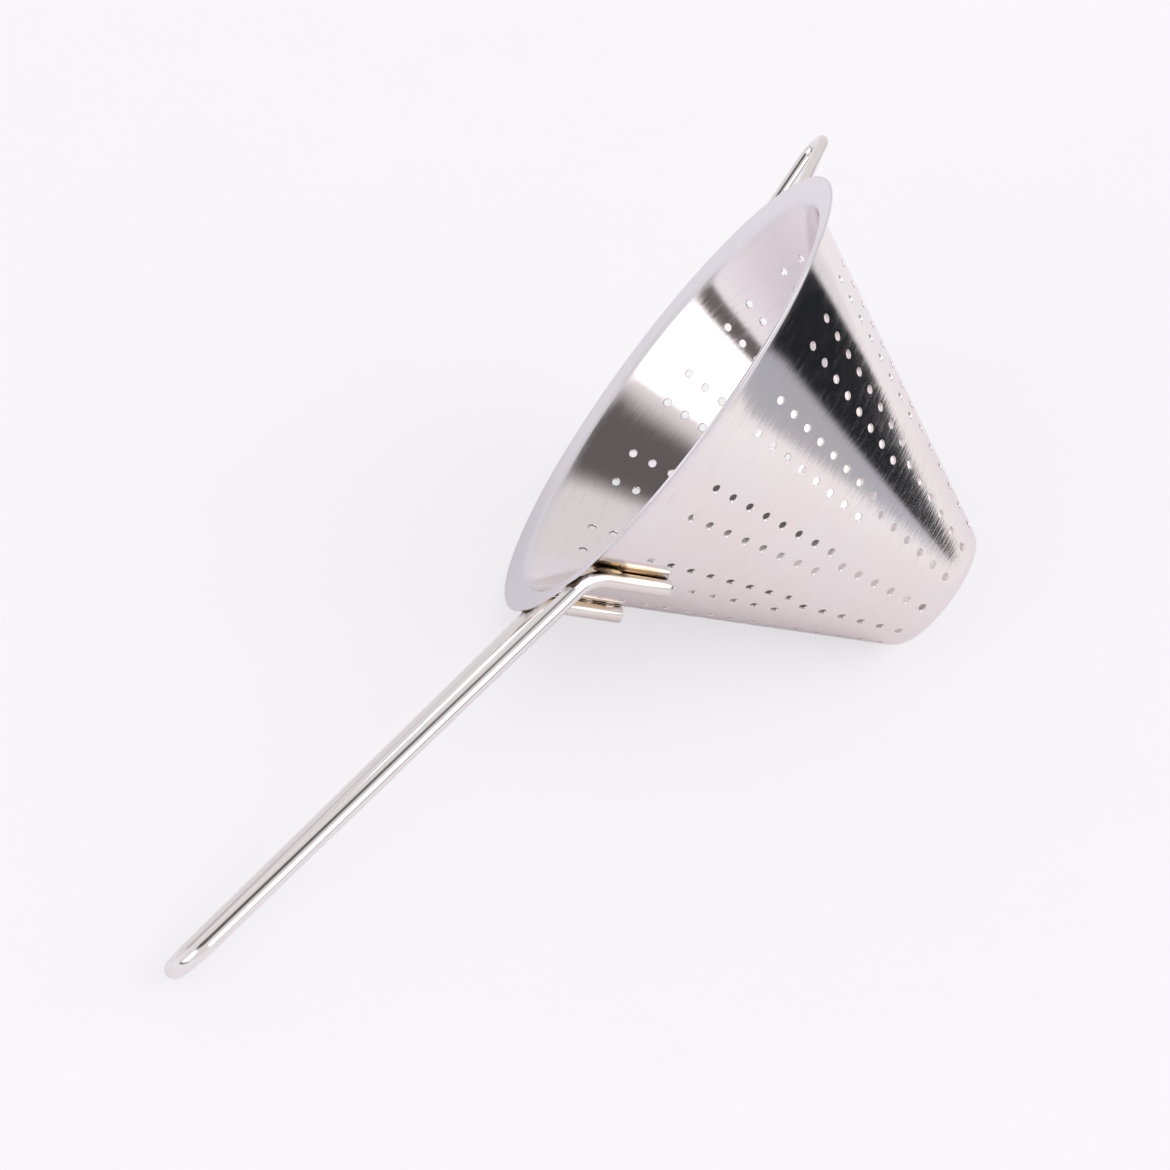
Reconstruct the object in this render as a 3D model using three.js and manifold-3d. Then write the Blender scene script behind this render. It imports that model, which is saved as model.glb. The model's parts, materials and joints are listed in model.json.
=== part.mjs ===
// A conical strainer: a drawn and perforated steel cup with a flared lip, a long handle bent from one wire,
// a short wire rest on the far side of the rim, and the welds that hold both wires to the cup.
// It is modelled upright on the cup's axis, with the handle along +X, and then laid down on its side.
import * as THREE from "three";
import { mergeGeometries, mergeVertices } from "three/addons/utils/BufferGeometryUtils.js";
import Module from "manifold-3d";

const wasm = await Module();
wasm.setup();

// Cup, in millimetres. The root of the lip, on the outside of the sheet, is at height 0.
const SHEET = 0.7;
const MOUTH_DIAMETER = 127; // outside of the wall, at the root of the lip
const BASE_DIAMETER = 35.4; // outside of the wall, carried down to the base
const DEPTH = 90.8; // from the root of the lip to the outside of the base
const LIP_WIDTH = 6.8; // from its root out to its edge
const LIP_RISE = 1.5;
const LIP_BEND = 2.4; // radius on the outside of the sheet
const BASE_BEND = 5; // radius on the outside of the sheet
const FACETS_PER_PAIR = 3; // facets of the cup, so that their edges fall between the rows of holes
const BEND_FACETS = 4;
const FLATNESS = 0.002; // facets flatter than this are merged after the holes are cut

// Perforation: pairs of rows down the wall, single rows below them and a ring in the base.
const HOLE_DIAMETER = 2.2;
const HOLE_SIDES = 6;
const ROW_PAIRS = 13;
const PAIR_SPREAD = 10.1; // degrees between the two rows of a pair
const PATTERN_TURN = -9.7; // degrees from the handle to the nearest pair
const FIRST_RING_DEPTH = 12.2;
const RING_PITCH = 5.54;
const PAIRED_RINGS = 8;
const SINGLE_TURN = 1.7; // degrees that a single row stands off the middle of its pair
const BASE_HOLES = 8;
const BASE_RING_DIAMETER = 18;

// Each wire runs from a leg on the wall, under the lip, out to a round end and back to a second leg.
// Reach is from the cup's axis to the outside of the round end, and slope is in degrees above the mouth.
const HANDLE = {
  wire: 4.5,
  reach: 207.5,
  slope: 14.3,
  legSpacing: 30.6,
  endSpacing: 15.6,
  legDepth: 21.5,
  bend: 12,
};
const HOOK = {
  wire: 3.2,
  reach: 100.6,
  slope: -2,
  legSpacing: 26.5,
  endSpacing: 8,
  legDepth: 18,
  bend: 6,
};
const HOOK_TURN = 188; // degrees from the handle to the hook
const WIRE_SIDES = 8;
const WIRE_STEP = 3.4;

// Welds: a bead beside each leg, and a tack where each handle wire meets the edge of the lip.
const SEAT_GAP = 0.3;
const BEAD = { length: 8, radius: 1.3 };
const TACK = { length: 5, radius: 1.3 };

const SHEET_STEEL = { color: 0xc9c6c4, metalness: 1, roughness: 0.22 };
const WIRE_STEEL = { color: 0xd8d6d2, metalness: 1, roughness: 0.12 };
const WELD_STEEL = { color: 0x9a8a70, metalness: 1, roughness: 0.45 };

const mouthRadius = MOUTH_DIAMETER / 2;
const baseRadius = BASE_DIAMETER / 2;
const lipRadius = mouthRadius + LIP_WIDTH;
const wallAngle = Math.atan2(mouthRadius - baseRadius, DEPTH);
const lipAngle = Math.atan2(LIP_RISE, LIP_WIDTH);
const baseBendAngle = Math.PI / 2 - wallAngle;
const rings = Math.floor((DEPTH - BASE_BEND - FIRST_RING_DEPTH) / RING_PITCH) + 1;
const { degToRad } = THREE.MathUtils;
const UP = new THREE.Vector3(0, 0, 1);
const wallRadius = (depth) => mouthRadius - depth * Math.tan(wallAngle);

// Solids

function solidOf(geometry) {
  const bare = new THREE.BufferGeometry().setAttribute("position", geometry.getAttribute("position"));
  const merged = mergeVertices(bare.setIndex(geometry.index), 1e-4);
  const vertProperties = merged.getAttribute("position").array;
  const triVerts = new Uint32Array(merged.index.array);
  return new wasm.Manifold(new wasm.Mesh({ numProp: 3, vertProperties, triVerts }));
}

function geometryOf(solid) {
  const { vertProperties, triVerts } = solid.getMesh();
  const geometry = new THREE.BufferGeometry();
  geometry.setAttribute("position", new THREE.BufferAttribute(vertProperties, 3));
  geometry.setIndex(new THREE.BufferAttribute(triVerts, 1));
  geometry.computeVertexNormals();
  return geometry;
}

function pieceOf(name, geometry, finish) {
  const piece = new THREE.Mesh(geometry, new THREE.MeshStandardMaterial(finish));
  piece.name = name;
  return piece;
}

// Cup

// The arc that rounds a corner between two straight runs of a profile.
function roundCorner(before, corner, after, radius) {
  const into = before.clone().sub(corner).normalize();
  const away = after.clone().sub(corner).normalize();
  const half = Math.acos(into.dot(away)) / 2;
  const middle = into.clone().add(away).normalize();
  const centre = corner.clone().addScaledVector(middle, radius / Math.sin(half));
  const start = corner.clone().addScaledVector(into, radius / Math.tan(half));
  const turn = Math.sign(into.cross(away)) * (2 * half - Math.PI);
  return Array.from({ length: BEND_FACETS + 1 }, (_, i) =>
    start.clone().rotateAround(centre, (turn * i) / BEND_FACETS),
  );
}

// One face of the sheet, from the axis to the edge of the lip, at a distance in from the outside.
function sheetFace(inset) {
  const corners = [
    new THREE.Vector2(0, -DEPTH),
    new THREE.Vector2(baseRadius, -DEPTH),
    new THREE.Vector2(mouthRadius, 0),
    new THREE.Vector2(lipRadius, LIP_RISE),
  ];
  const inward = corners.slice(1).map((corner, i) => {
    const run = corner.clone().sub(corners[i]).normalize();
    return new THREE.Vector2(-run.y, run.x);
  });
  const [axis, base, root, edge] = corners.map((corner, i) => {
    const before = inward[Math.max(i - 1, 0)];
    const after = inward[Math.min(i, inward.length - 1)];
    const mitre = before.clone().add(after).divideScalar(1 + before.dot(after));
    return corner.clone().addScaledVector(mitre, inset);
  });
  return [
    axis,
    ...roundCorner(axis, base, root, BASE_BEND - inset),
    ...roundCorner(base, root, edge, LIP_BEND + inset),
    edge,
  ];
}

function turned(profile) {
  return new THREE.LatheGeometry(profile, FACETS_PER_PAIR * ROW_PAIRS).rotateX(Math.PI / 2);
}

// A punch for one hole, square to the sheet at a point.
function punch(point, direction) {
  const radius = HOLE_DIAMETER / 2;
  const tool = new THREE.CylinderGeometry(radius, radius, HOLE_DIAMETER + SHEET, HOLE_SIDES);
  const turn = new THREE.Quaternion().setFromUnitVectors(new THREE.Vector3(0, 1, 0), direction);
  return tool.applyQuaternion(turn).translate(point.x, point.y, point.z);
}

function wallPunch(ring, degrees) {
  const depth = FIRST_RING_DEPTH + ring * RING_PITCH;
  const azimuth = degToRad(degrees);
  const out = new THREE.Vector3(Math.cos(wallAngle), 0, -Math.sin(wallAngle));
  const point = new THREE.Vector3(wallRadius(depth), 0, -depth);
  return punch(point.applyAxisAngle(UP, azimuth), out.applyAxisAngle(UP, azimuth));
}

function perforation() {
  const tools = [];
  for (let pair = 0; pair < ROW_PAIRS; pair++) {
    const middle = (360 * pair) / ROW_PAIRS;
    for (let ring = 0; ring < PAIRED_RINGS; ring++) {
      tools.push(wallPunch(ring, middle - PAIR_SPREAD / 2));
      tools.push(wallPunch(ring, middle + PAIR_SPREAD / 2));
    }
    for (let ring = PAIRED_RINGS; ring < rings; ring++) {
      tools.push(wallPunch(ring, middle + SINGLE_TURN));
    }
  }
  for (let hole = 0; hole < BASE_HOLES; hole++) {
    const point = new THREE.Vector3(BASE_RING_DIAMETER / 2, 0, -DEPTH);
    tools.push(punch(point.applyAxisAngle(UP, (2 * Math.PI * hole) / BASE_HOLES), UP));
  }
  return mergeGeometries(tools);
}

function cupGeometry() {
  const sheet = turned([...sheetFace(0), ...sheetFace(SHEET).reverse()]);
  const cut = solidOf(sheet).asOriginal().subtract(solidOf(perforation()));
  const cup = cut.asOriginal().simplify(FLATNESS);
  return geometryOf(cup).rotateZ(degToRad(PATTERN_TURN));
}

// The cup's outside with no hollow, grown by the seat gap, to cut the welds back to their seats.
function cupSeat(holderTurn) {
  const top = LIP_RISE + SHEET;
  const lid = [new THREE.Vector2(lipRadius, top), new THREE.Vector2(0, top)];
  const plug = turned([...sheetFace(-SEAT_GAP), ...lid]);
  return solidOf(plug.rotateZ(degToRad(PATTERN_TURN) - holderTurn));
}

// Wires

// Where a wire's middle line runs on one side of its loop: leg end, bend under the lip and round end.
function wirePoints({ wire, reach, slope, legSpacing, endSpacing, legDepth }, side) {
  const off = wire / 2 + SEAT_GAP;
  const y = (side * legSpacing) / 2;
  const rise = Math.tan(degToRad(slope));
  const legX = (depth) => Math.sqrt((wallRadius(depth) + off / Math.cos(wallAngle)) ** 2 - y ** 2);
  const legSlope = (legX(0) - legX(legDepth)) / legDepth;
  // The run clears the edge of the lip if it rises more steeply than the lip, or else the lip's root.
  const steep = degToRad(slope) > lipAngle;
  const seatX = Math.sqrt((steep ? lipRadius : mouthRadius) ** 2 - y ** 2);
  const seatZ = (steep ? LIP_RISE : 0) - off / Math.cos(degToRad(slope));
  const runZ = (x) => seatZ + (x - seatX) * rise;
  // The leg's line and the run's line meet at the bend.
  const bendX = (legX(0) + legSlope * (seatZ - seatX * rise)) / (1 - legSlope * rise);
  const endX = reach - wire / 2;
  return [
    new THREE.Vector3(legX(legDepth), y, -legDepth),
    new THREE.Vector3(bendX, y, runZ(bendX)),
    new THREE.Vector3(endX, (side * endSpacing) / 2, runZ(endX)),
  ];
}

// A path with a round bend at each inner point, as wide as given or as half of the shorter run allows.
function bentPath(points, radius) {
  const path = new THREE.CurvePath();
  let from = points[0];
  for (let i = 1; i < points.length - 1; i++) {
    const into = points[i - 1].clone().sub(points[i]);
    const away = points[i + 1].clone().sub(points[i]);
    const room = Math.min(into.length(), away.length()) / 2;
    const turn = Math.PI - into.angleTo(away);
    const tangent = Math.min(radius * Math.tan(turn / 2), room);
    const pull = tangent * (1 - ((4 / 3) * Math.tan(turn / 4)) / Math.tan(turn / 2));
    const [start, startPull] = [tangent, pull].map((d) => points[i].clone().add(into.clone().setLength(d)));
    const [end, endPull] = [tangent, pull].map((d) => points[i].clone().add(away.clone().setLength(d)));
    path.add(new THREE.LineCurve3(from, start));
    path.add(new THREE.CubicBezierCurve3(start, startPull, endPull, end));
    from = end;
  }
  path.add(new THREE.LineCurve3(from, points[points.length - 1]));
  return path;
}

function wireGeometry(form, grow = 0) {
  const points = [...wirePoints(form, 1), ...wirePoints(form, -1).reverse()];
  const path = bentPath(points, form.bend);
  const radius = form.wire / 2 + grow;
  const corners = Array.from({ length: WIRE_SIDES }, (_, i) => {
    const angle = (2 * Math.PI * (i + 0.5)) / WIRE_SIDES;
    return new THREE.Vector2(radius * Math.cos(angle), radius * Math.sin(angle));
  });
  const steps = Math.round(path.getLength() / WIRE_STEP);
  return new THREE.ExtrudeGeometry(new THREE.Shape(corners), { steps, extrudePath: path });
}

// Welds

// A bead of weld metal along a line, cut back to its seats on the wire and the cup.
function weldGeometry({ length, radius }, middle, along, seats) {
  const bead = new THREE.SphereGeometry(1, 8, 6).scale(radius, length / 2, radius);
  const turn = new THREE.Quaternion().setFromUnitVectors(new THREE.Vector3(0, 1, 0), along);
  bead.applyQuaternion(turn).translate(middle.x, middle.y, middle.z);
  return geometryOf(seats.reduce((weld, seat) => weld.subtract(seat), solidOf(bead)));
}

function legWeld(form, side, seats) {
  const [legEnd, bend] = wirePoints(form, side);
  const along = bend.clone().sub(legEnd).normalize();
  const middle = bend.clone().addScaledVector(along, -BEAD.length / 2);
  const azimuth = Math.atan2(middle.y, middle.x);
  const inward = new THREE.Vector3(-Math.cos(wallAngle), 0, Math.sin(wallAngle)).applyAxisAngle(UP, azimuth);
  middle.addScaledVector(inward, form.wire / 2);
  middle.add(new THREE.Vector3(0, (side * form.wire) / 2, 0));
  return weldGeometry(BEAD, middle, along, seats);
}

function lipWeld(form, side, seats) {
  const [, bend, end] = wirePoints(form, side);
  const along = end.clone().sub(bend).normalize();
  const edgeX = Math.sqrt(lipRadius ** 2 - bend.y ** 2) - TACK.length / 2;
  const middle = bend.clone().addScaledVector(along, (edgeX - bend.x) / along.x);
  middle.add(new THREE.Vector3(0, (side * form.wire) / 2, form.wire / 2));
  return weldGeometry(TACK, middle, along, seats);
}

// Laying down

// The direction of the floor, as seen from the upright cup: a plane that touches the edge of the lip,
// the bend round the base and the round end of the handle.
function floorDirection() {
  const bendCentre = baseRadius - BASE_BEND * Math.tan(baseBendAngle / 2);
  const across = lipRadius - bendCentre;
  const down = LIP_RISE + DEPTH - BASE_BEND;
  const lean = Math.atan2(across, down) - Math.asin(BASE_BEND / Math.hypot(across, down));
  const direction = (azimuth) =>
    new THREE.Vector3(Math.cos(lean), 0, -Math.sin(lean)).applyAxisAngle(UP, azimuth);
  const lipReach = lipRadius * Math.cos(lean) - LIP_RISE * Math.sin(lean);
  const [, bend, end] = wirePoints(HANDLE, 1);
  const along = end.clone().sub(bend).setY(0).normalize();
  const side = new THREE.Vector3(0, 1, 0);
  const endRadius = HANDLE.endSpacing / 2;
  const endCentre = end.clone().setY(0).addScaledVector(along, -endRadius);
  const endReach = (floor) =>
    floor.dot(endCentre) + endRadius * Math.hypot(floor.dot(along), floor.dot(side)) + HANDLE.wire / 2;
  let [clear, sunk] = [-Math.PI / 2, 0];
  for (let halving = 0; halving < 40; halving++) {
    const middle = (clear + sunk) / 2;
    if (endReach(direction(middle)) > lipReach) sunk = middle;
    else clear = middle;
  }
  return direction(clear);
}

// Turns the upright strainer so that it lies on the floor with its handle towards -X.
function layDown(upright) {
  const up = floorDirection().negate();
  const right = new THREE.Vector3(-1, 0, 0).projectOnPlane(up).normalize();
  const back = up.clone().cross(right);
  const turn = new THREE.Matrix4().makeBasis(right, back, up).transpose();
  upright.quaternion.setFromRotationMatrix(turn);
  const lying = new THREE.Group().add(upright);
  const box = new THREE.Box3().setFromObject(lying, true);
  const middle = box.getCenter(new THREE.Vector3());
  upright.position.set(-middle.x, -middle.y, -box.min.z);
  return lying;
}

// Assembly

const upright = new THREE.Group();
upright.add(pieceOf("strainer_cup", cupGeometry(), SHEET_STEEL));

const far = new THREE.Group();
far.rotation.z = degToRad(HOOK_TURN);
upright.add(far);

for (const [name, form, holder] of [["handle", HANDLE, upright], ["hook", HOOK, far]]) {
  holder.add(pieceOf(`${name}_wire`, wireGeometry(form), WIRE_STEEL));
  const wireSeat = solidOf(wireGeometry(form, SEAT_GAP));
  for (const [hand, side] of [["left", 1], ["right", -1]]) {
    const seats = [wireSeat, cupSeat(holder.rotation.z)];
    holder.add(pieceOf(`${name}_leg_weld_${hand}`, legWeld(form, side, seats), WELD_STEEL));
    if (form === HANDLE) {
      holder.add(pieceOf(`${name}_lip_weld_${hand}`, lipWeld(form, side, seats), WELD_STEEL));
    }
  }
}

export default layDown(upright);
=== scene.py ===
# A conical strainer of spun, perforated stainless steel, lying on its side: the drawn cup, a long
# looped wire handle, a short wire rest on the far side of the rim, and the welds that hold both.
# The pieces are modelled upright on the cup's axis, with the handle along +X and the root of the
# lip at height 0, and are then laid down where the strainer lies.
import json
import math

import bpy
from mathutils import Matrix, Vector


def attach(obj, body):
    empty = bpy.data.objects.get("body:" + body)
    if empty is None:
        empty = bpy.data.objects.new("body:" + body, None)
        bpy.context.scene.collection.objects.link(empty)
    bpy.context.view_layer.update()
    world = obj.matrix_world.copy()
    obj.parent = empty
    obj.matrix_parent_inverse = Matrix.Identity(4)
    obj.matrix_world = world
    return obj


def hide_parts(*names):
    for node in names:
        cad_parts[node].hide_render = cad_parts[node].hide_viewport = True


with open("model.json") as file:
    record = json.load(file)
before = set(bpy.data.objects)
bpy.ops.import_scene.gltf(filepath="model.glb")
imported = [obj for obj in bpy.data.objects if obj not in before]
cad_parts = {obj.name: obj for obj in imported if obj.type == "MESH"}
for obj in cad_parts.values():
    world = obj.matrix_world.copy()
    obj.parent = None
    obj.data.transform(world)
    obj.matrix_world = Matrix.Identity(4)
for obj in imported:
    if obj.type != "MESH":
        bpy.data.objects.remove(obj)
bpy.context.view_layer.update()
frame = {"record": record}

MM = 0.001
FULL_TURN = 2 * math.pi

# Cup
SHEET = 0.7 * MM
MOUTH_RADIUS = 63.5 * MM
BASE_RADIUS = 17.7 * MM
DEPTH = 90.8 * MM
LIP_WIDTH = 6.8 * MM
LIP_RISE = 1.5 * MM
LIP_BEND = 2.4 * MM
BASE_BEND = 5 * MM
LIP_EDGE_ROUND = 0.33 * MM
CUP_FACETS = 416
BEND_STEPS = 7
BASE_STEPS = 4
LIP_STEPS = 3
EDGE_STEPS = 3

# Perforation, with angles in degrees
HOLE_RADIUS = 1.1 * MM
HOLE_BURR = 0.12 * MM
HOLE_SIDES = 20
ROW_PAIRS = 13
PAIR_SPREAD = 10.1
PATTERN_TURN = -9.7
FIRST_RING_DEPTH = 12.2 * MM
RING_PITCH = 5.54 * MM
PAIRED_RINGS = 8
RINGS = 14
SINGLE_TURN = 1.7
BASE_HOLES = 8
BASE_RING_RADIUS = 9 * MM

# Wires, with slopes in degrees above the mouth and the turn in degrees from the handle to the hook
HANDLE = {
    "wire": 4.5 * MM,
    "reach": 207.5 * MM,
    "slope": 14.3,
    "leg_spacing": 30.6 * MM,
    "end_spacing": 15.6 * MM,
    "leg_depth": 21.5 * MM,
    "bend": 12 * MM,
}
HOOK = {
    "wire": 3.2 * MM,
    "reach": 100.6 * MM,
    "slope": -2,
    "leg_spacing": 26.5 * MM,
    "end_spacing": 8 * MM,
    "leg_depth": 18 * MM,
    "bend": 6 * MM,
}
HOOK_TURN = 188
SEAT_GAP = 0.05 * MM
CUT_EDGE = 0.25 * MM
CUT_EDGE_STEPS = 2
WIRE_BEND_STEPS = 20
WIRE_ROUNDNESS = 8

# Welds
BEAD = {"length": 8 * MM, "radius": 0.75 * MM, "half_width": 0.75 * MM, "stands_off": 0.5 * MM}
TACK = {
    "length": 5 * MM,
    "radius": 0.8 * MM,
    "half_width": 2.6 * MM,
    "past_edge": 1 * MM,
    "below_top": 0.45 * MM,
}
WELD_SIDES = 32
WELD_RINGS = 24
WELD_RIPPLE = {"size": 1.3 * MM, "height": 0.3 * MM}

# Meshes: how near points merge, how sharp an edge is rounded and how flat an edge looks smooth
MERGE = 0.001 * MM
SHARP = math.radians(60)
SMOOTH = math.radians(32)

LIP_RADIUS = MOUTH_RADIUS + LIP_WIDTH
WALL_ANGLE = math.atan2(MOUTH_RADIUS - BASE_RADIUS, DEPTH)
LIP_ANGLE = math.atan2(LIP_RISE, LIP_WIDTH)


def upright_to_lying():
    """The turn and shift that lay the upright strainer down, from the face of its base."""
    base = frame["record"]["mounts"][0]
    up = -Vector(base["axis"]).normalized()
    root = Vector(base["pos_m"]) + up * DEPTH
    towards_handle = up.cross(Vector((0, 1, 0))).normalized()
    turn = Matrix((towards_handle, up.cross(towards_handle), up)).transposed().to_4x4()
    return Matrix.Translation(root) @ turn


LYING = upright_to_lying()
TO_HOOK = Matrix.Rotation(math.radians(HOOK_TURN), 4, "Z")


# Shader nodes


class Value:
    """A number or colour on a shader socket. Arithmetic on it adds Math nodes."""

    def __init__(self, finish, socket):
        self.finish = finish
        self.socket = socket

    def __add__(self, other):
        return self.finish.math("ADD", self, other)

    __radd__ = __add__

    def __sub__(self, other):
        return self.finish.math("SUBTRACT", self, other)

    def __rsub__(self, other):
        return self.finish.math("SUBTRACT", other, self)

    def __mul__(self, other):
        return self.finish.math("MULTIPLY", self, other)

    __rmul__ = __mul__

    def __truediv__(self, other):
        return self.finish.math("DIVIDE", self, other)

    def __pow__(self, other):
        return self.finish.math("POWER", self, other)


class Finish:
    """The shader nodes of one finish or of the surroundings."""

    def __init__(self, owner):
        owner.use_nodes = True
        self.tree = owner.node_tree
        self.tree.nodes.clear()

    def node(self, kind, settings, sockets, output=0):
        made = self.tree.nodes.new(kind)
        for name, value in settings.items():
            setattr(made, name, value)
        for name, value in sockets.items():
            socket = made.inputs[name]
            if isinstance(value, Value):
                self.tree.links.new(value.socket, socket)
            elif socket.type == "RGBA":
                socket.default_value = (*value, 1)
            else:
                socket.default_value = value
        return Value(self, made.outputs[output]) if made.outputs else made

    def math(self, operation, first, second=0.0):
        return self.node("ShaderNodeMath", {"operation": operation}, {0: first, 1: second})

    def fade(self, value, start, end):
        """0 before start, 1 after end and smooth between them."""
        limits = {"Value": value, "From Min": start, "From Max": end}
        return self.node("ShaderNodeMapRange", {"interpolation_type": "SMOOTHSTEP"}, limits)

    def between(self, value, start, end, soft):
        """1 from start to end, falling softly to 0 outside them."""
        return self.fade(value, start - soft, start) * (1 - self.fade(value, end, end + soft))

    def blend(self, share, first, second):
        colours = {0: share, 6: first, 7: second}
        return self.node("ShaderNodeMix", {"data_type": "RGBA"}, colours, output=2)

    def noise(self, vector, scale, detail=2.0):
        sockets = {"Vector": vector, "Scale": scale, "Detail": detail}
        return self.node("ShaderNodeTexNoise", {}, sockets)

    def split(self, vector):
        made = self.node("ShaderNodeSeparateXYZ", {}, {0: vector}).socket.node
        return [Value(self, socket) for socket in made.outputs]

    def join(self, x, y, z):
        return self.node("ShaderNodeCombineXYZ", {}, {0: x, 1: y, 2: z})

    def upright_place(self):
        """Where a point of the lying strainer is on the upright one."""
        place = self.node("ShaderNodeTexCoord", {}, {}, output="Object")
        back = LYING.inverted()
        sockets = {"Vector": place, "Location": back.translation, "Rotation": back.to_euler()}
        return self.node("ShaderNodeMapping", {"vector_type": "POINT"}, sockets)

    def vector(self, operation, first, second, output="Vector"):
        sockets = {0: first, 1: second}
        return self.node("ShaderNodeVectorMath", {"operation": operation}, sockets, output)

    def near(self, place, lines, start, end):
        """1 within the start distance of any of the lines, falling to 0 at the end distance."""
        shares = []
        for first, last in lines:
            run = last - first
            share = self.vector("DOT_PRODUCT", self.vector("SUBTRACT", place, first), run, "Value")
            share = self.node("ShaderNodeClamp", {}, {"Value": share / run.length_squared})
            along = self.vector("MULTIPLY", self.join(share, share, share), run)
            foot = self.vector("ADD", along, first)
            shares.append(1 - self.fade(self.vector("DISTANCE", place, foot, "Value"), start, end))
        nearest = shares[0]
        for share in shares[1:]:
            nearest = self.math("MAXIMUM", nearest, share)
        return nearest

    def surface(self, sockets):
        return self.node("ShaderNodeBsdfPrincipled", {}, sockets)

    def bump(self, height, strength, distance):
        sockets = {"Height": height, "Strength": strength, "Distance": distance}
        return self.node("ShaderNodeBump", {}, sockets)

    def light_path(self, ray):
        return self.node("ShaderNodeLightPath", {}, {}, output=f"Is {ray} Ray")

    def seen_straight(self):
        return self.math("MAXIMUM", self.light_path("Camera"), self.light_path("Transmission"))

    def output(self, kind, shader):
        self.node(kind, {}, {"Surface": shader})


# Wires


def wall_radius(depth):
    return MOUTH_RADIUS - depth * math.tan(WALL_ANGLE)


def wire_corners(form, side):
    """One side of a wire's middle line: end of the leg, bend under the lip and round end."""
    off = form["wire"] / 2 + SEAT_GAP
    slope = math.radians(form["slope"])
    y = side * form["leg_spacing"] / 2

    def leg_x(depth):
        return math.sqrt((wall_radius(depth) + off / math.cos(WALL_ANGLE)) ** 2 - y**2)

    leg_slope = (leg_x(0) - leg_x(form["leg_depth"])) / form["leg_depth"]
    # A run steeper than the lip clears the lip's edge, and a flatter one clears its root.
    steep = slope > LIP_ANGLE
    seat_x = math.sqrt((LIP_RADIUS if steep else MOUTH_RADIUS) ** 2 - y**2)
    seat_z = (LIP_RISE if steep else 0) - off / math.cos(slope)
    rise = math.tan(slope)
    bend_x = (leg_x(0) + leg_slope * (seat_z - seat_x * rise)) / (1 - leg_slope * rise)
    end_x = form["reach"] - form["wire"] / 2
    return [
        Vector((leg_x(form["leg_depth"]), y, -form["leg_depth"])),
        Vector((bend_x, y, seat_z + (bend_x - seat_x) * rise)),
        Vector((end_x, side * form["end_spacing"] / 2, seat_z + (end_x - seat_x) * rise)),
    ]


def bead_middle(form, side):
    """The middle of the weld bead beside a leg, and the leg's direction."""
    leg_end, bend, _ = wire_corners(form, side)
    along = (bend - leg_end).normalized()
    middle = bend - along * BEAD["length"] / 2
    azimuth = math.atan2(middle.y, middle.x)
    inward = Vector((-math.cos(WALL_ANGLE), 0, math.sin(WALL_ANGLE)))
    inward.rotate(Matrix.Rotation(azimuth, 3, "Z"))
    beside = Vector((0, side * form["wire"] / 2, 0))
    return middle + inward * (form["wire"] / 2 - BEAD["stands_off"]) + beside, along


def tack_middle(form, side):
    """The middle of the tack where a wire meets the edge of the lip, and the wire's direction."""
    _, bend, end = wire_corners(form, side)
    along = (end - bend).normalized()
    edge_x = math.sqrt(LIP_RADIUS**2 - bend.y**2)
    middle_x = edge_x + TACK["past_edge"] - TACK["length"] / 2
    middle = bend + along * (middle_x - bend.x) / along.x
    return middle + Vector((0, 0, form["wire"] / 2 - TACK["below_top"])), along


SIDES = {"left": 1, "right": -1}

# Where the steel was heated: along the legs from this share of their length, and along the welds,
# where the burnt brown is also painted shade under the lip
HEATED_FROM = 0.28
LEG_LINES = [
    (leg_end.lerp(bend, HEATED_FROM), bend)
    for leg_end, bend, _ in (wire_corners(HANDLE, side) for side in SIDES.values())
]
WELD_LINES = [
    (middle - along * form["length"] / 2, middle + along * form["length"] / 2)
    for form, weld_middle in ((BEAD, bead_middle), (TACK, tack_middle))
    for middle, along in (weld_middle(HANDLE, side) for side in SIDES.values())
]


# Finishes

STRAW = (0.69, 0.54, 0.34)
BURNT_AND_SHADE = (0.10, 0.066, 0.046)

# Heat tints, and the painted shade in the burnt brown, are full within the first distance of a
# line and end at the second
LEG_TINT = (4 * MM, 6.5 * MM)
SHEET_BURN_AND_SHADE = (0.4 * MM, 2.2 * MM)
WIRE_BURN_AND_SHADE = (0.5 * MM, 2.6 * MM)
BRUSH_DEPTH = 0.02 * MM
WELD_GRAIN = 0.1 * MM


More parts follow.
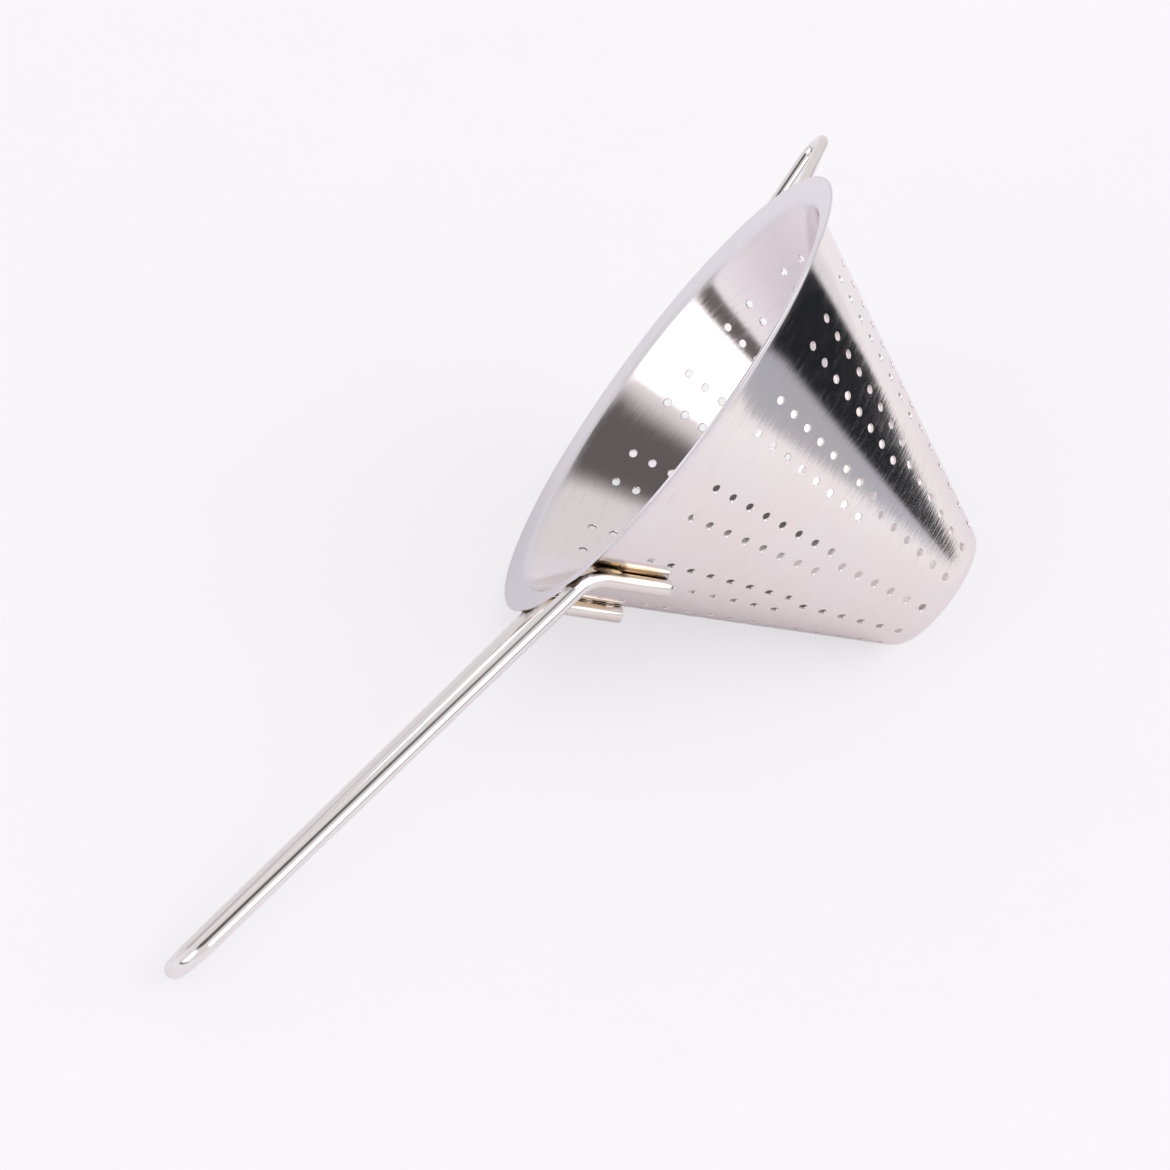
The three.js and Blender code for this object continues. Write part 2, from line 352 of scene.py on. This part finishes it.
def spun_steel():
    """Polished sheet with fine brushing round the cup, tinted by heat at the welds. The burnt
    brown by the welds is partly painted shade, and the lip is painted a darker shade.
    """
    material = bpy.data.materials.new("spun_steel")
    finish = Finish(material)
    place = finish.upright_place()
    x, y, z = finish.split(place)
    pink_grey = (0.87, 0.80, 0.78)
    cool_grey = (0.86, 0.815, 0.81)
    inner_grey = (0.838, 0.782, 0.787)
    scuff_grey = (0.62, 0.58, 0.57)
    lip_painted_shade = (0.775, 0.755, 0.785)

    radius = (x * x + y * y) ** 0.5 + 0.1 * MM
    along = radius + z

    def brushing(around, across, detail):
        """Streaks round the cup: slow to change round the axis and fast along the profile."""
        stretched = finish.join(x / radius * around, y / radius * around, along * across)
        return finish.noise(stretched, 1.0, detail)

    lines = brushing(around=4, across=1300, detail=1.0)
    scuffs = brushing(around=8, across=700, detail=2.0)
    smudges = finish.noise(place, 45.0, 3.0)

    # Masks for the outside of the sheet, the lip and all but the top of the lip
    wall = radius - z * math.tan(WALL_ANGLE)
    outside = finish.fade(wall, MOUTH_RADIUS - SHEET, MOUTH_RADIUS - SHEET / 2)
    lip = finish.fade(z, -2.5 * MM, 0.7 * MM)
    above_lip = z - (radius - MOUTH_RADIUS) * math.tan(LIP_ANGLE)
    underneath = 1 - finish.fade(above_lip, SHEET * 0.4, SHEET * 0.8)

    colour = finish.blend(finish.fade(smudges, 0.35, 0.68), pink_grey, cool_grey)
    colour = finish.blend(outside, inner_grey, colour)
    colour = finish.blend(finish.fade(scuffs, 0.52, 0.78) * 0.16, colour, scuff_grey)
    # Painted shade: the lip's steel is darkened to a lilac grey
    colour = finish.blend(lip * 0.9, colour, lip_painted_shade)
    tint = finish.near(place, LEG_LINES, *LEG_TINT) * outside * (1 - lip)
    colour = finish.blend(tint * 0.72, colour, STRAW)
    # Burnt brown by the welds: partly heat tint, partly painted shade under the lip and beside the
    # wires
    burn_and_shade = finish.near(place, WELD_LINES, *SHEET_BURN_AND_SHADE) * outside * underneath
    colour = finish.blend(burn_and_shade * 0.85, colour, BURNT_AND_SHADE)
    sockets = {
        "Base Color": colour,
        "Metallic": 1.0,
        "Roughness": 0.075 + lines * 0.06 + finish.fade(scuffs, 0.45, 0.7) * 0.04 + lip * 0.2,
        "Normal": finish.bump(lines + scuffs * 0.6, 0.5, BRUSH_DEPTH),
    }
    finish.output("ShaderNodeOutputMaterial", finish.surface(sockets))
    return material


def bright_wire():
    """Drawn and polished wire, faintly tinted along its legs and burnt at its welds, where the
    burnt brown is partly painted shade.
    """
    material = bpy.data.materials.new("bright_wire")
    finish = Finish(material)
    place = finish.upright_place()
    x, y, z = finish.split(place)
    warm_grey = (0.84, 0.80, 0.79)
    pale_grey = (0.87, 0.84, 0.835)
    drawn = finish.noise(finish.join(x * 25, y * 1500, z * 1500), 1.0, 2.0)
    smudges = finish.noise(place, 90.0, 3.0)
    legs = 1 - finish.fade(z, -9 * MM, 0.0)
    colour = finish.blend(smudges, warm_grey, pale_grey)
    colour = finish.blend(legs * smudges * 0.4, colour, STRAW)
    # Burnt brown at the welds: partly heat tint, partly painted shade under the lip
    colour = finish.blend(finish.near(place, WELD_LINES, *WIRE_BURN_AND_SHADE) * 0.7, colour, BURNT_AND_SHADE)
    sockets = {
        "Base Color": colour,
        "Metallic": 1.0,
        "Roughness": 0.07 + drawn * 0.09 + smudges * 0.05,
        "Normal": finish.bump(drawn, 0.15, BRUSH_DEPTH),
    }
    finish.output("ShaderNodeOutputMaterial", finish.surface(sockets))
    return material


def heated_weld():
    """Weld metal, tinted from straw to burnt brown towards the lip, the brown partly heat tint and
    partly painted shade under the lip.
    """
    material = bpy.data.materials.new("heated_weld")
    finish = Finish(material)
    place = finish.upright_place()
    patches = finish.noise(place, 900.0, 3.0)
    ripples = finish.noise(place, 2600.0, 2.0)
    _, _, z = finish.split(place)
    # Browner towards the lip: partly heat tint, partly painted shade under the lip
    heat_and_shade = finish.fade(z + patches * 3 * MM, -6.5 * MM, -2 * MM)
    sockets = {
        "Base Color": finish.blend(heat_and_shade, STRAW, BURNT_AND_SHADE),
        "Metallic": 1.0,
        "Roughness": 0.28 + ripples * 0.25,
        "Normal": finish.bump(ripples, 0.4, WELD_GRAIN),
    }
    finish.output("ShaderNodeOutputMaterial", finish.surface(sockets))
    return material


def pale_floor():
    """Matt pale board. The eye, and steel from further off, see it partly as plain white."""
    material = bpy.data.materials.new("pale_floor")
    finish = Finish(material)
    place = finish.node("ShaderNodeTexCoord", {}, {}, output="Object")
    dull_board = (0.905, 0.885, 0.915)
    light_board = (0.925, 0.905, 0.935)
    plain_white = (0.985, 0.97, 0.995)
    under_cup = Vector((0.05, 0, 0))
    colour = finish.blend(finish.noise(place, 30.0), dull_board, light_board)
    board = finish.surface({"Base Color": colour, "Roughness": 0.85, "Specular IOR Level": 0.1})
    white = finish.node("ShaderNodeEmission", {}, {"Color": plain_white, "Strength": 1.0})
    away = finish.fade(finish.vector("DISTANCE", place, under_cup, "Value"), 0.08, 0.5)
    mirrored = finish.light_path("Glossy") * away * 0.9
    share = finish.math("MAXIMUM", finish.seen_straight() * 0.62, mirrored)
    shader = finish.node("ShaderNodeMixShader", {}, {0: share, 1: board, 2: white})
    finish.output("ShaderNodeOutputMaterial", shader)
    return material


# Modelling


def draw_line(points):
    """A new mesh of edges through points, drawn out from its first point."""
    bpy.ops.object.select_all(action="DESELECT")
    bpy.ops.mesh.primitive_plane_add(size=1)
    bpy.ops.object.mode_set(mode="EDIT")
    bpy.ops.mesh.select_all(action="SELECT")
    bpy.ops.mesh.merge(type="CENTER")
    bpy.ops.transform.translate(value=points[0])
    for before, after in zip(points, points[1:]):
        bpy.ops.mesh.extrude_region_move(TRANSFORM_OT_translate={"value": after - before})
    bpy.ops.object.mode_set(mode="OBJECT")
    return bpy.context.object


def spin_line(line, facets):
    """Spins a line round the upright axis into a closed skin."""
    bpy.ops.object.mode_set(mode="EDIT")
    bpy.ops.mesh.select_all(action="SELECT")
    bpy.ops.mesh.spin(steps=facets, angle=FULL_TURN, center=(0, 0, 0), axis=(0, 0, 1))
    bpy.ops.mesh.select_all(action="SELECT")
    bpy.ops.mesh.remove_doubles(threshold=MERGE)
    bpy.ops.mesh.normals_make_consistent(inside=False)
    bpy.ops.object.mode_set(mode="OBJECT")
    lowest = min(line.data.polygons, key=lambda face: face.center.z)
    if lowest.normal.z > 0:
        line.data.flip_normals()


def finish_modifier(piece, kind, **settings):
    modifier = piece.modifiers.new(kind.title(), kind)
    for name, value in settings.items():
        setattr(modifier, name, value)
    bpy.context.view_layer.objects.active = piece
    bpy.ops.object.modifier_apply(modifier=modifier.name)


def round_corner(before, corner, after, radius):
    """Points of the arc that rounds a corner of a profile in the XZ plane."""
    into = (before - corner).normalized()
    away = (after - corner).normalized()
    half = into.angle(away) / 2
    centre = corner + (into + away).normalized() * radius / math.sin(half)
    start = corner + into * radius / math.tan(half) - centre
    end = corner + away * radius / math.tan(half) - centre
    axis = start.cross(end).normalized()
    turn = start.angle(end) / BEND_STEPS
    turns = [turn * step for step in range(BEND_STEPS + 1)]
    return [centre + Matrix.Rotation(angle, 3, axis) @ start for angle in turns]


def straight(start, end, parts):
    return [start.lerp(end, part / parts) for part in range(1, parts)]


def cup_profile():
    """The outside of the sheet, from the axis to the edge of the lip."""
    axis = Vector((0, 0, -DEPTH))
    base = Vector((BASE_RADIUS, 0, -DEPTH))
    root = Vector((MOUTH_RADIUS, 0, 0))
    edge = Vector((LIP_RADIUS, 0, LIP_RISE))
    base_bend = round_corner(axis, base, root, BASE_BEND)
    lip_bend = round_corner(base, root, edge, LIP_BEND)
    return [
        axis,
        *straight(axis, base_bend[0], BASE_STEPS),
        *base_bend,
        *straight(base_bend[-1], lip_bend[0], RINGS),
        *lip_bend,
        *straight(lip_bend[-1], edge, LIP_STEPS),
        edge,
    ]


def hole_punch():
    """A punch for one hole, with its axis up and the outside of the sheet at height 0."""
    flare = 3 * HOLE_BURR
    profile = [
        Vector((0, 0, -SHEET + HOLE_BURR - flare)),
        Vector((HOLE_RADIUS + flare, 0, -SHEET + HOLE_BURR - flare)),
        Vector((HOLE_RADIUS, 0, -SHEET + HOLE_BURR)),
        Vector((HOLE_RADIUS, 0, -HOLE_BURR)),
        Vector((HOLE_RADIUS + flare, 0, flare - HOLE_BURR)),
        Vector((0, 0, flare - HOLE_BURR)),
    ]
    punch = draw_line(profile)
    spin_line(punch, HOLE_SIDES)
    return punch


def wall_hole(ring, degrees):
    depth = FIRST_RING_DEPTH + ring * RING_PITCH
    around = Matrix.Rotation(math.radians(degrees + PATTERN_TURN), 4, "Z")
    out = Matrix.Rotation(math.pi / 2 + WALL_ANGLE, 4, "Y")
    return around @ Matrix.Translation((wall_radius(depth), 0, -depth)) @ out


def base_hole(hole):
    around = Matrix.Rotation(FULL_TURN * hole / BASE_HOLES + math.radians(PATTERN_TURN), 4, "Z")
    out = Matrix.Rotation(math.pi, 4, "Y")
    return around @ Matrix.Translation((BASE_RING_RADIUS, 0, -DEPTH)) @ out


def perforation():
    """Where each hole is: pairs of rows, single rows below them and a ring in the base."""
    places = [base_hole(hole) for hole in range(BASE_HOLES)]
    for pair in range(ROW_PAIRS):
        middle = 360 * pair / ROW_PAIRS
        for ring in range(PAIRED_RINGS):
            places.append(wall_hole(ring, middle - PAIR_SPREAD / 2))
            places.append(wall_hole(ring, middle + PAIR_SPREAD / 2))
        places += [wall_hole(ring, middle + SINGLE_TURN) for ring in range(PAIRED_RINGS, RINGS)]
    return places


def punch_set():
    """All the punches as one tool."""
    first = hole_punch()
    copies = []
    for place in perforation():
        copy = first.copy()
        copy.data = first.data.copy()
        copy.data.transform(place)
        bpy.context.collection.objects.link(copy)
        copies.append(copy)
    bpy.data.objects.remove(first)
    bpy.ops.object.select_all(action="DESELECT")
    for copy in copies:
        copy.select_set(True)
    bpy.context.view_layer.objects.active = copies[0]
    bpy.ops.object.join()
    return copies[0]


def model_cup():
    cup = draw_line(cup_profile())
    spin_line(cup, CUP_FACETS)
    finish_modifier(cup, "SOLIDIFY", thickness=SHEET, offset=-1, use_even_offset=True)
    finish_modifier(cup, "BEVEL", width=LIP_EDGE_ROUND, segments=EDGE_STEPS, angle_limit=SHARP)
    punches = punch_set()
    finish_modifier(cup, "BOOLEAN", operation="DIFFERENCE", object=punches, solver="MANIFOLD")
    bpy.data.objects.remove(punches)
    return cup


def model_wire(form):
    """A wire bent from leg to leg, with a round bend at each corner and its ends cut square."""
    corners = wire_corners(form, 1) + wire_corners(form, -1)[::-1]
    knots = [(corners[0], None, None)]
    for before, corner, after in zip(corners, corners[1:], corners[2:]):
        into = before - corner
        away = after - corner
        turn = math.pi - into.angle(away)
        tangent = min(form["bend"] * math.tan(turn / 2), into.length / 2, away.length / 2)
        # How far a curve handle stands from the corner, for a round bend
        pull = tangent * (1 - 4 / 3 * math.tan(turn / 4) / math.tan(turn / 2))
        into.normalize()
        away.normalize()
        knots.append((corner + into * tangent, None, corner + into * pull))
        knots.append((corner + away * tangent, corner + away * pull, None))
    knots.append((corners[-1], None, None))

    bpy.ops.object.select_all(action="DESELECT")
    bpy.ops.curve.primitive_bezier_curve_add()
    wire = bpy.context.object
    line = wire.data.splines[0]
    line.bezier_points.add(len(knots) - len(line.bezier_points))
    for point, (place, left, right) in zip(line.bezier_points, knots):
        point.co = place
        point.handle_left_type = "FREE" if left else "VECTOR"
        point.handle_right_type = "FREE" if right else "VECTOR"
        if left:
            point.handle_left = left
        if right:
            point.handle_right = right
    wire.data.resolution_u = WIRE_BEND_STEPS
    wire.data.bevel_depth = form["wire"] / 2
    wire.data.bevel_resolution = WIRE_ROUNDNESS
    wire.data.use_fill_caps = True
    bpy.ops.object.convert(target="MESH")
    wire = bpy.context.object
    bpy.ops.object.mode_set(mode="EDIT")
    bpy.ops.mesh.select_all(action="SELECT")
    bpy.ops.mesh.remove_doubles(threshold=MERGE)
    bpy.ops.mesh.normals_make_consistent(inside=False)
    bpy.ops.object.mode_set(mode="OBJECT")
    finish_modifier(wire, "BEVEL", width=CUT_EDGE, segments=CUT_EDGE_STEPS, angle_limit=SHARP)
    return wire


def model_weld(form, middle, along):
    """A rippled bead of weld metal along a direction."""
    bpy.ops.object.select_all(action="DESELECT")
    bpy.ops.mesh.primitive_uv_sphere_add(
        segments=WELD_SIDES, ring_count=WELD_RINGS, radius=form["radius"]
    )
    weld = bpy.context.object
    widen = form["half_width"] / form["radius"]
    stretch = form["length"] / 2 / form["radius"]
    bpy.ops.object.mode_set(mode="EDIT")
    bpy.ops.mesh.select_all(action="SELECT")
    bpy.ops.transform.resize(value=(1, widen, stretch))
    bpy.ops.object.mode_set(mode="OBJECT")
    turn = along.to_track_quat("Z", "X").to_matrix().to_4x4()
    weld.data.transform(Matrix.Translation(middle) @ turn)
    ripple = bpy.data.textures.new("weld_ripple", "CLOUDS")
    ripple.noise_scale = WELD_RIPPLE["size"]
    height = WELD_RIPPLE["height"]
    finish_modifier(weld, "DISPLACE", texture=ripple, strength=height, mid_level=0.5)
    return weld


def lay_down(piece, name, node, material, turn=Matrix()):
    """Lays an upright piece where its solid lies and gives it its finish."""
    piece.name = name
    piece.data.name = name
    piece.data.transform(LYING @ turn)
    piece.data.materials.clear()
    piece.data.materials.append(material)
    bpy.ops.object.select_all(action="DESELECT")
    piece.select_set(True)
    bpy.context.view_layer.objects.active = piece
    bpy.ops.object.shade_smooth_by_angle(angle=SMOOTH)
    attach(piece, "root")
    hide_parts(node)


sheet_finish = spun_steel()
wire_finish = bright_wire()
weld_finish = heated_weld()

lay_down(model_cup(), "cup", "strainer_cup", sheet_finish)
for name, form, turn in (("handle", HANDLE, Matrix()), ("hook", HOOK, TO_HOOK)):
    lay_down(model_wire(form), name, f"{name}_wire", wire_finish, turn)
    for hand, side in SIDES.items():
        bead = model_weld(BEAD, *bead_middle(form, side))
        node = f"{name}_leg_weld_{hand}"
        lay_down(bead, f"{name}_bead_{hand}", node, weld_finish, turn)
for hand, side in SIDES.items():
    tack = model_weld(TACK, *tack_middle(HANDLE, side))
    lay_down(tack, f"handle_tack_{hand}", f"handle_lip_weld_{hand}", weld_finish)


# Studio, in metres, watts and degrees

FLOOR = {"width": 2.4, "depth": 1.8, "right_edge": 0.8, "far_edge": 0.4, "turn": -70}
LAMP_DISTANCE = 8
LAMP_COLOUR = (1, 0.975, 0.95)
SOFTBOXES = [
    {"azimuth": -67, "elevation": 30, "width": 6.1, "height": 6.1, "power": 108},
    {"azimuth": 160, "elevation": 38, "width": 8.9, "height": 5.6, "power": 204},
]
CAMERA = {
    "aim": (0.0345, 0.0346, 0),
    "azimuth": 66.6,
    "elevation": 42.68,
    "roll": 6.17,
    "distance": 1.0898,
    "lens": 123.08,
    "sensor": 36,
}


def compass(azimuth, elevation):
    """A direction from its angle clockwise from +Y and its angle above the floor, in degrees."""
    azimuth, elevation = math.radians(azimuth), math.radians(elevation)
    level = math.cos(elevation)
    return Vector((math.sin(azimuth) * level, math.cos(azimuth) * level, math.sin(elevation)))


def set_floor():
    """A table whose far edge and right-hand edge are a little way behind the strainer."""
    bpy.ops.object.select_all(action="DESELECT")
    bpy.ops.mesh.primitive_plane_add(size=1)
    floor = bpy.context.object
    floor.name = "floor"
    bpy.ops.object.mode_set(mode="EDIT")
    bpy.ops.mesh.select_all(action="SELECT")
    bpy.ops.transform.resize(value=(FLOOR["width"], FLOOR["depth"], 1))
    across = FLOOR["right_edge"] - FLOOR["width"] / 2
    away = FLOOR["far_edge"] - FLOOR["depth"] / 2
    bpy.ops.transform.translate(value=(across, away, 0))
    bpy.ops.object.mode_set(mode="OBJECT")
    floor.data.transform(Matrix.Rotation(math.radians(FLOOR["turn"]), 4, "Z"))
    floor.data.materials.append(pale_floor())


def set_softbox(azimuth, elevation, width, height, power):
    towards = compass(azimuth, elevation)
    bpy.ops.object.light_add(type="AREA", location=towards * LAMP_DISTANCE)
    lamp = bpy.context.object
    lamp.rotation_euler = towards.to_track_quat("Z", "Y").to_euler()
    lamp.data.shape = "RECTANGLE"
    lamp.data.size = width
    lamp.data.size_y = height
    lamp.data.energy = power
    lamp.data.color = LAMP_COLOUR
    lamp.visible_camera = False


def set_surroundings():
    """A pale room. Steel also mirrors a dark ceiling, a sill below a softbox and a dark side."""
    upper_room = (0.80, 0.785, 0.79)
    lower_room = (0.83, 0.815, 0.845)
    ceiling_grey = (0.128, 0.119, 0.117)
    sill_grey = (0.13, 0.115, 0.11)
    side_grey = (0.46, 0.475, 0.525)
    side_black = (0.012, 0.014, 0.018)
    soft_light = (0.76, 0.75, 0.775)
    backdrop = (0.955, 0.934, 0.97)

    finish = Finish(bpy.data.worlds.new("studio"))
    bpy.context.scene.world = bpy.data.worlds["studio"]
    direction = finish.node("ShaderNodeTexCoord", {}, {}, output="Generated")
    x, y, z = finish.split(direction)
    degrees = 180 / math.pi
    elevation = finish.math("ARCSINE", z) * degrees
    azimuth = finish.math("ARCTAN2", x, y) * degrees

    low = 1 - finish.fade(elevation, 14, 24)
    from_ceiling = finish.vector("DISTANCE", direction, compass(-20, 73), "Value")
    ceiling = 1 - finish.fade(from_ceiling, 0.27, 0.5)
    sill = finish.between(azimuth, -95, -40, 6) * finish.between(elevation, -4, 7, 2)
    room = finish.blend(low, upper_room, lower_room)
    room = finish.blend(ceiling, room, ceiling_grey)
    room = finish.blend(sill, room, sill_grey)
    room = finish.blend(finish.between(azimuth, 156, 177, 4) * low, room, side_grey)
    room = finish.blend(finish.between(azimuth, 119, 154, 4) * low, room, side_black)
    colour = finish.blend(finish.light_path("Glossy"), soft_light, room)
    colour = finish.blend(finish.seen_straight(), colour, backdrop)
    light = finish.node("ShaderNodeBackground", {}, {"Color": colour, "Strength": 1.0})
    finish.output("ShaderNodeOutputWorld", light)


def set_camera():
    forward = compass(CAMERA["azimuth"], -CAMERA["elevation"])
    level = forward.cross(Vector((0, 0, 1))).normalized()
    above = level.cross(forward)
    roll = math.radians(CAMERA["roll"])
    right = level * math.cos(roll) + above * math.sin(roll)
    turn = Matrix((right, right.cross(forward), -forward)).transposed()
    place = Vector(CAMERA["aim"]) - forward * CAMERA["distance"]
    bpy.ops.object.camera_add(location=place, rotation=turn.to_euler())
    camera = bpy.context.object
    camera.data.lens = CAMERA["lens"]
    camera.data.sensor_width = CAMERA["sensor"]
    bpy.context.scene.camera = camera


set_floor()
for softbox in SOFTBOXES:
    set_softbox(**softbox)
set_surroundings()
set_camera()
bpy.context.scene.view_settings.view_transform = "Standard"
